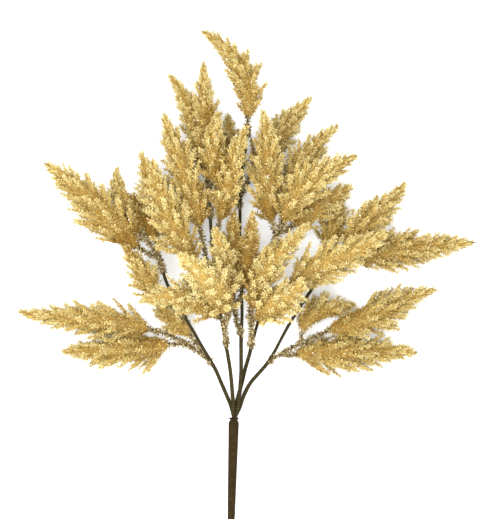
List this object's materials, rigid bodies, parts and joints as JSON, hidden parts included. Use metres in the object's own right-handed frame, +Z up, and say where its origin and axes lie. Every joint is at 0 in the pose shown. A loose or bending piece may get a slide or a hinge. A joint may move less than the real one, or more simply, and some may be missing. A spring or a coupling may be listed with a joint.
{
  "type": "feather reed grass spray",
  "caption": "Artificial feather reed grass spray lying flat: flocked golden plumes on thin side stalks and wired stems, bound into one tape-wrapped stem.",
  "frame": {"origin": "on the surface under the middle of the spray's bounding box", "axes": "+Y from the cut end of the wrapped stem to the plume tips, +X to the right seen from above, +Z up from the surface the spray lies on"},
  "size_m": [0.4694, 0.5024, 0.1369],
  "materials": {
    "stem_wrap": "matte",
    "stem": "matte",
    "stalk": "matte",
    "plume": "matte"
  },
  "bodies": {
    "root": {"stem_wrap": "stem_wrap", "stem_left": "stem", "stem_front_left": "stem", "stem_centre": "stem", "stem_front_right": "stem", "stem_right": "stem", "stalk_left_lower": "stalk", "plume_left_lower_1": "plume", "plume_left_lower_2": "plume", "plume_left_lower_3": "plume", "stalk_left_middle": "stalk", "plume_left_middle_1": "plume", "stalk_left_upper": "stalk", "plume_left_upper_1": "plume", "plume_left_upper_2": "plume", "plume_left_upper_3": "plume", "stalk_front_left_lower": "stalk", "plume_front_left_lower_1": "plume", "plume_front_left_lower_2": "plume", "plume_front_left_lower_3": "plume", "stalk_front_left_middle": "stalk", "plume_front_left_middle_1": "plume", "plume_front_left_middle_2": "plume", "plume_front_left_middle_3": "plume", "stalk_front_left_inner": "stalk", "plume_front_left_inner_1": "plume", "stalk_front_left_upper": "stalk", "plume_front_left_upper_1": "plume", "plume_front_left_upper_2": "plume", "plume_front_left_upper_3": "plume", "stalk_centre_lower": "stalk", "plume_centre_lower_1": "plume", "plume_centre_lower_2": "plume", "stalk_centre_upper_left": "stalk", "plume_centre_upper_left_1": "plume", "stalk_centre_upper_right": "stalk", "plume_centre_upper_right_1": "plume", "stalk_centre_top": "stalk", "plume_centre_top_1": "plume", "stalk_front_right_lower": "stalk", "plume_front_right_lower_1": "plume", "plume_front_right_lower_2": "plume", "plume_front_right_lower_3": "plume", "stalk_front_right_middle": "stalk", "plume_front_right_middle_1": "plume", "stalk_front_right_upper": "stalk", "plume_front_right_upper_1": "plume", "plume_front_right_upper_2": "plume", "plume_front_right_upper_3": "plume", "plume_front_right_upper_4": "plume", "stalk_right_lower": "stalk", "plume_right_lower_1": "plume", "plume_right_lower_2": "plume", "plume_right_lower_3": "plume", "stalk_right_upper": "stalk", "plume_right_upper_1": "plume", "plume_right_upper_2": "plume", "plume_right_upper_3": "plume"}
  },
  "joints": []
}
